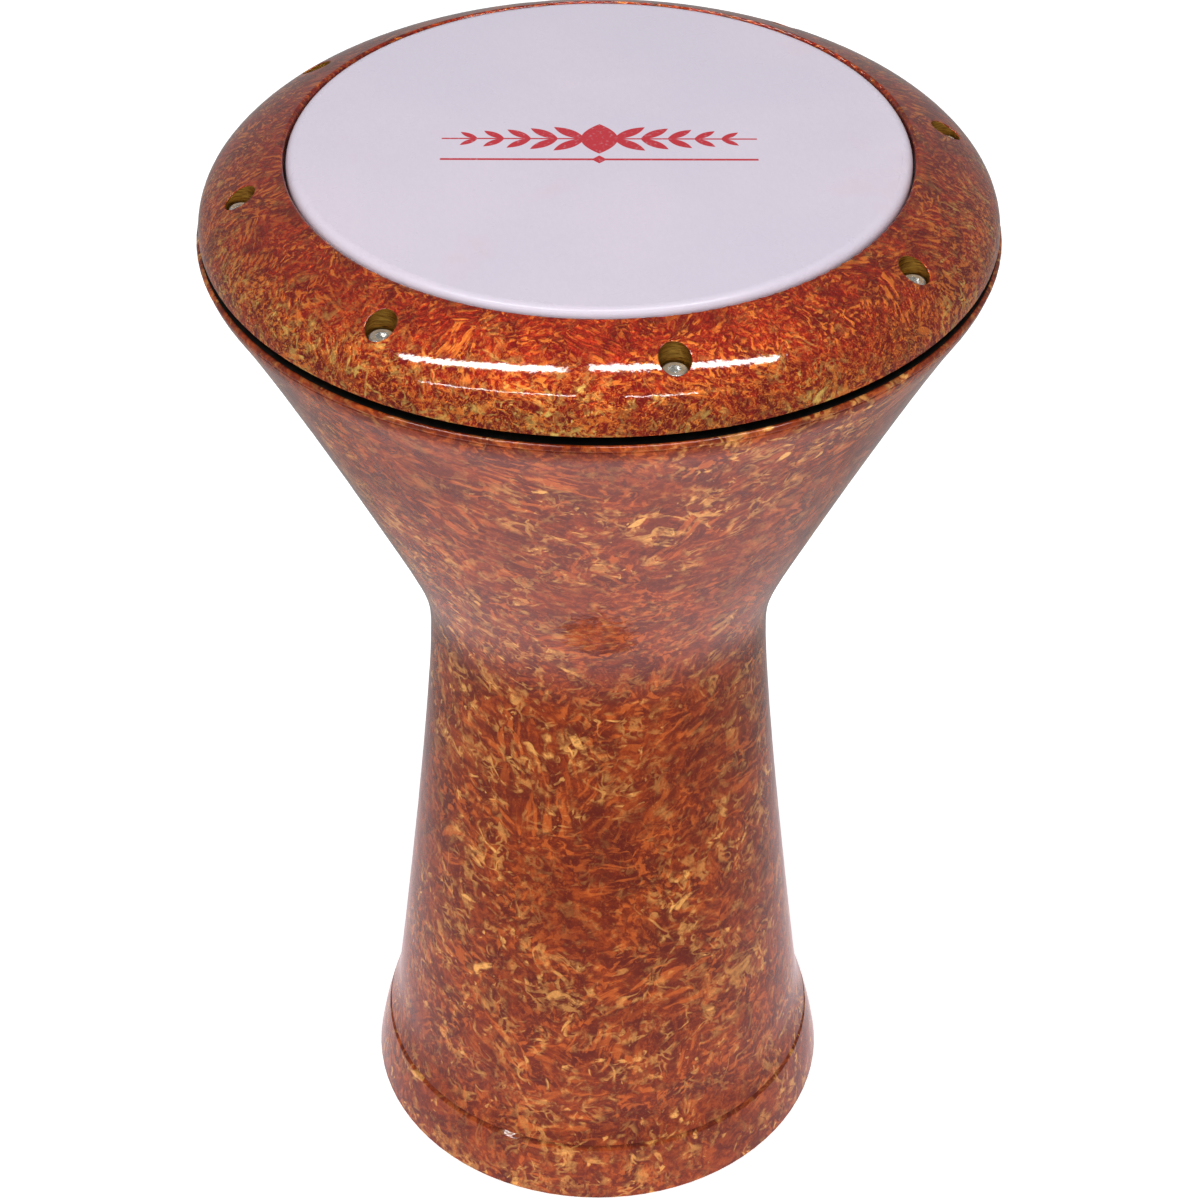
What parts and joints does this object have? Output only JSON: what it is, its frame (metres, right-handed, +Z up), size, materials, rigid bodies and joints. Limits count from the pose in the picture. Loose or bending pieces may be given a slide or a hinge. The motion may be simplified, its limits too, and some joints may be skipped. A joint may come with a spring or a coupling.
{
  "type": "goblet drum",
  "caption": "Hand drum with a cast goblet shell, a synthetic head and a domed screw-down tension ring around it, open at the foot.",
  "frame": {"origin": "centre of the foot's resting plane", "axes": "+Z up the drum's axis to the head, +X towards the first tuning screw"},
  "size_m": [0.2854, 0.2854, 0.446],
  "materials": {
    "shell_lacquer": "marbled lacquer under gloss clear coat",
    "ring_lacquer": "marbled lacquer under gloss clear coat",
    "head_film": "satin",
    "hoop_metal": "satin",
    "resin": "matte",
    "screw_steel": "polished",
    "washer_steel": "satin"
  },
  "bodies": {
    "shell": {"shell": "shell_lacquer", "head_film": "head_film"},
    "ring": {"tension_ring": "ring_lacquer", "head_hoop": "hoop_metal", "hoop_resin": "resin", "head_collar": "head_film", "washer_1": "washer_steel", "washer_2": "washer_steel", "washer_3": "washer_steel", "washer_4": "washer_steel", "washer_5": "washer_steel", "washer_6": "washer_steel", "washer_7": "washer_steel", "washer_8": "washer_steel"},
    "screw_1": {"tuning_screw_1": "screw_steel"},
    "screw_2": {"tuning_screw_2": "screw_steel"},
    "screw_3": {"tuning_screw_3": "screw_steel"},
    "screw_4": {"tuning_screw_4": "screw_steel"},
    "screw_5": {"tuning_screw_5": "screw_steel"},
    "screw_6": {"tuning_screw_6": "screw_steel"},
    "screw_7": {"tuning_screw_7": "screw_steel"},
    "screw_8": {"tuning_screw_8": "screw_steel"}
  },
  "joints": [
    {"name": "ring_slide", "type": "slide", "parent": "shell", "child": "ring", "axis": [0, 0, 1], "range_m": [-0.0015, 0.003], "deforming": ["head_collar"]},
    {"name": "screw_1_turn", "type": "hinge", "parent": "ring", "child": "screw_1", "pos_m": [0.1262, 0, 0.4288], "axis": [0, 0, 1], "range_deg": [-676, 1351]},
    {"name": "screw_2_turn", "type": "hinge", "parent": "ring", "child": "screw_2", "pos_m": [0.08924, 0.08924, 0.4288], "axis": [0, 0, 1], "range_deg": [-676, 1351]},
    {"name": "screw_3_turn", "type": "hinge", "parent": "ring", "child": "screw_3", "pos_m": [0, 0.1262, 0.4288], "axis": [0, 0, 1], "range_deg": [-676, 1351]},
    {"name": "screw_4_turn", "type": "hinge", "parent": "ring", "child": "screw_4", "pos_m": [-0.08924, 0.08924, 0.4288], "axis": [0, 0, 1], "range_deg": [-676, 1351]},
    {"name": "screw_5_turn", "type": "hinge", "parent": "ring", "child": "screw_5", "pos_m": [-0.1262, 0, 0.4288], "axis": [0, 0, 1], "range_deg": [-676, 1351]},
    {"name": "screw_6_turn", "type": "hinge", "parent": "ring", "child": "screw_6", "pos_m": [-0.08924, -0.08924, 0.4288], "axis": [0, 0, 1], "range_deg": [-676, 1351]},
    {"name": "screw_7_turn", "type": "hinge", "parent": "ring", "child": "screw_7", "pos_m": [0, -0.1262, 0.4288], "axis": [0, 0, 1], "range_deg": [-676, 1351]},
    {"name": "screw_8_turn", "type": "hinge", "parent": "ring", "child": "screw_8", "pos_m": [0.08924, -0.08924, 0.4288], "axis": [0, 0, 1], "range_deg": [-676, 1351]}
  ],
  "couplings": [
    {"joint": "screw_1_turn", "follows": "ring_slide", "rad_per_m": 7854},
    {"joint": "screw_2_turn", "follows": "ring_slide", "rad_per_m": 7854},
    {"joint": "screw_3_turn", "follows": "ring_slide", "rad_per_m": 7854},
    {"joint": "screw_4_turn", "follows": "ring_slide", "rad_per_m": 7854},
    {"joint": "screw_5_turn", "follows": "ring_slide", "rad_per_m": 7854},
    {"joint": "screw_6_turn", "follows": "ring_slide", "rad_per_m": 7854},
    {"joint": "screw_7_turn", "follows": "ring_slide", "rad_per_m": 7854},
    {"joint": "screw_8_turn", "follows": "ring_slide", "rad_per_m": 7854}
  ]
}
